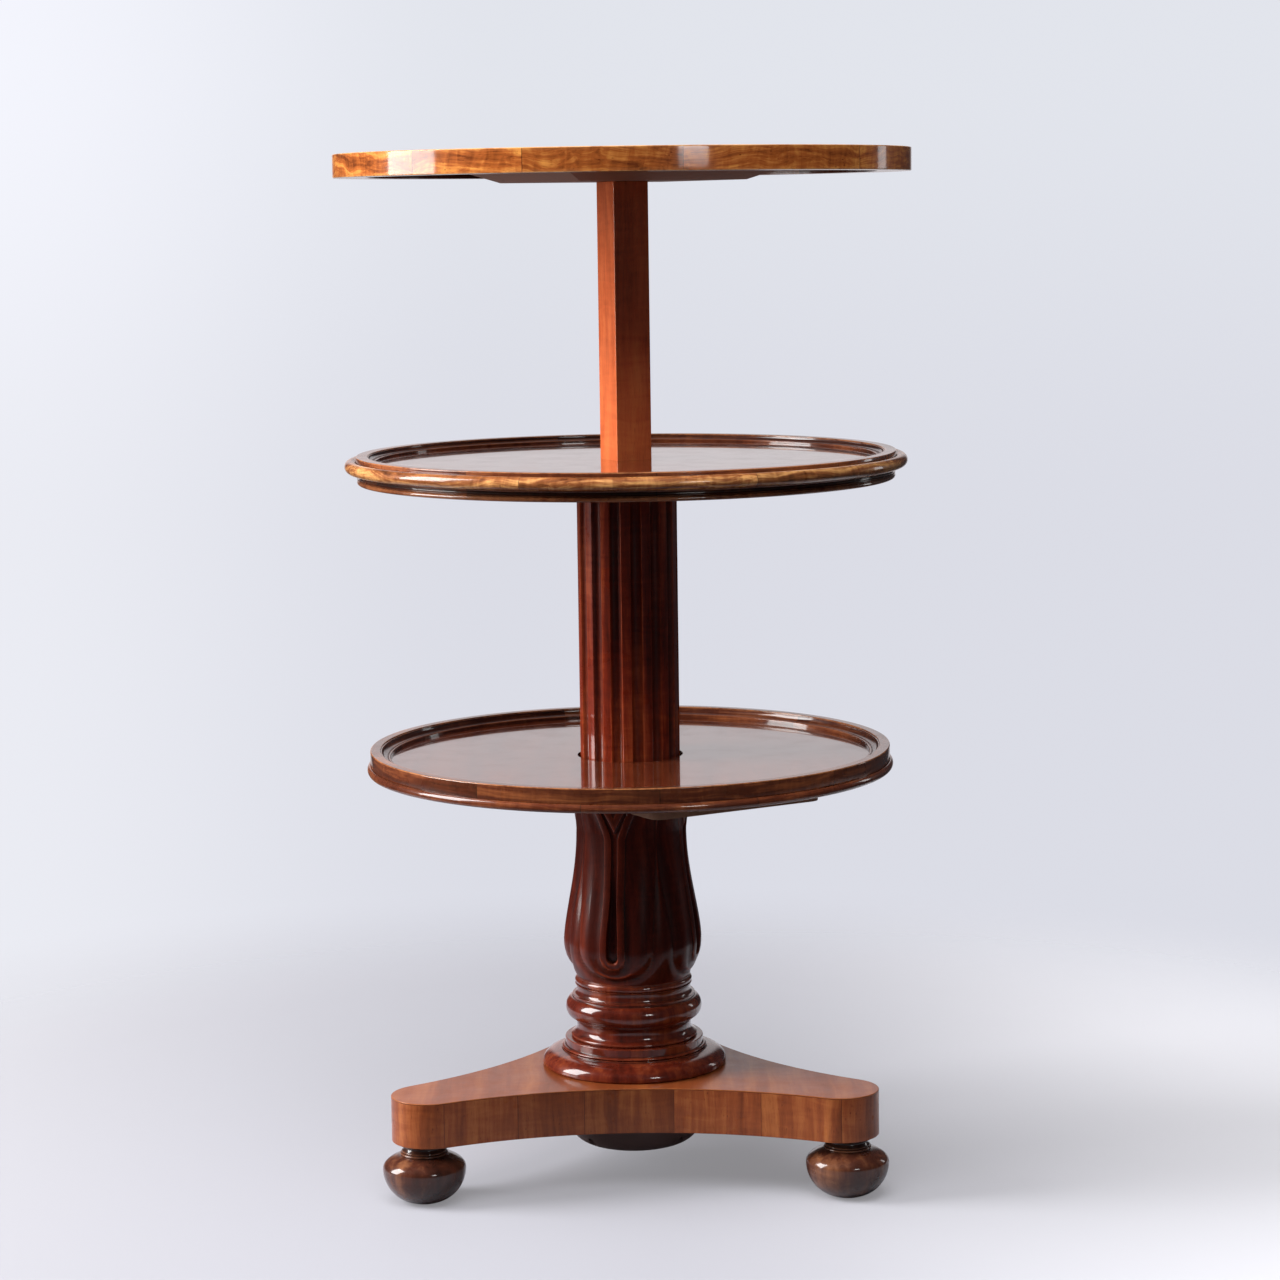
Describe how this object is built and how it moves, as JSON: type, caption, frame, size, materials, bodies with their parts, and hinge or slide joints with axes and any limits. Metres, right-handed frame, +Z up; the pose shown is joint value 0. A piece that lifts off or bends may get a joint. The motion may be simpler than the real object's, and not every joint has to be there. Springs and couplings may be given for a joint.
{
  "type": "telescopic three-tier table",
  "caption": "Metamorphic mahogany coffee table: round top and two moulded trays that telescope on a square post and fluted column above a carved pedestal, concave platform and bun feet.",
  "frame": {"origin": "on the floor under the axis of the pedestal", "axes": "+Z up along the column; -Y is the front, where two of the three feet stand; +X to the right"},
  "size_m": [0.6099, 0.61, 1.0989],
  "materials": {
    "carcase_wood": "plain planed mahogany, waxed thin",
    "platform_veneer": "mahogany veneer, French polished",
    "turned_mahogany": "turned mahogany, French polished",
    "foot_mahogany": "turned mahogany, polished and worn",
    "carved_mahogany": "carved mahogany, dark polish",
    "column_mahogany": "fluted mahogany, French polished",
    "post_mahogany": "straight grained mahogany, polished",
    "panel_mahogany": "figured mahogany, glossy French polish",
    "rim_mahogany": "mahogany, French polished",
    "moulding_mahogany": "moulded mahogany, polished",
    "top_edge_veneer": "golden figured veneer, French polished",
    "cap_wood": "turned wood, stained dark",
    "clamp_brass": "aged brass, satin",
    "screw_steel": "old iron screws, dull"
  },
  "bodies": {
    "base": {"base_core": "carcase_wood", "base_top_veneer": "platform_veneer", "base_edge_veneer": "platform_veneer", "foot_front_left": "foot_mahogany", "foot_front_right": "foot_mahogany", "foot_back": "foot_mahogany", "base_ring": "turned_mahogany", "column_socle": "turned_mahogany", "socle_collar": "turned_mahogany", "baluster": "carved_mahogany", "well_cap": "cap_wood", "well_cap_screws": "screw_steel", "lower_block": "carcase_wood", "lower_block_screws": "screw_steel", "lower_clamp_nut": "clamp_brass", "lower_tray_panel": "panel_mahogany", "lower_tray_rim": "rim_mahogany", "lower_tray_bead": "moulding_mahogany", "lower_tray_moulding": "moulding_mahogany"},
    "lower_clamp": {"lower_clamp_screw": "clamp_brass"},
    "middle_stage": {"fluted_column": "column_mahogany", "mid_block": "carcase_wood", "mid_block_screws": "screw_steel", "upper_clamp_nut": "clamp_brass", "mid_tray_panel": "panel_mahogany", "mid_tray_rim": "rim_mahogany", "mid_tray_bead": "moulding_mahogany", "mid_tray_moulding": "moulding_mahogany"},
    "upper_clamp": {"upper_clamp_screw": "clamp_brass"},
    "top_stage": {"post": "post_mahogany", "post_guide": "carcase_wood", "top_block": "carcase_wood", "top_block_screws": "screw_steel", "top_panel": "panel_mahogany", "top_lapping": "rim_mahogany", "top_edge_veneer": "top_edge_veneer"}
  },
  "joints": [
    {"name": "middle_stage_slide", "type": "slide", "parent": "base", "child": "middle_stage", "axis": [0, 0, 1], "range_m": [-0.2863, 0]},
    {"name": "top_stage_slide", "type": "slide", "parent": "middle_stage", "child": "top_stage", "axis": [0, 0, 1], "range_m": [-0.2922, 0]},
    {"name": "lower_clamp_turn", "type": "hinge", "parent": "base", "child": "lower_clamp", "pos_m": [0, 0, 0.4339], "axis": [0.8616, 0.5075, 0], "range_deg": [0, 270]},
    {"name": "upper_clamp_turn", "type": "hinge", "parent": "middle_stage", "child": "upper_clamp", "pos_m": [0, 0, 0.75245], "axis": [-0.4478, 0.8942, 0], "range_deg": [0, 270]}
  ]
}
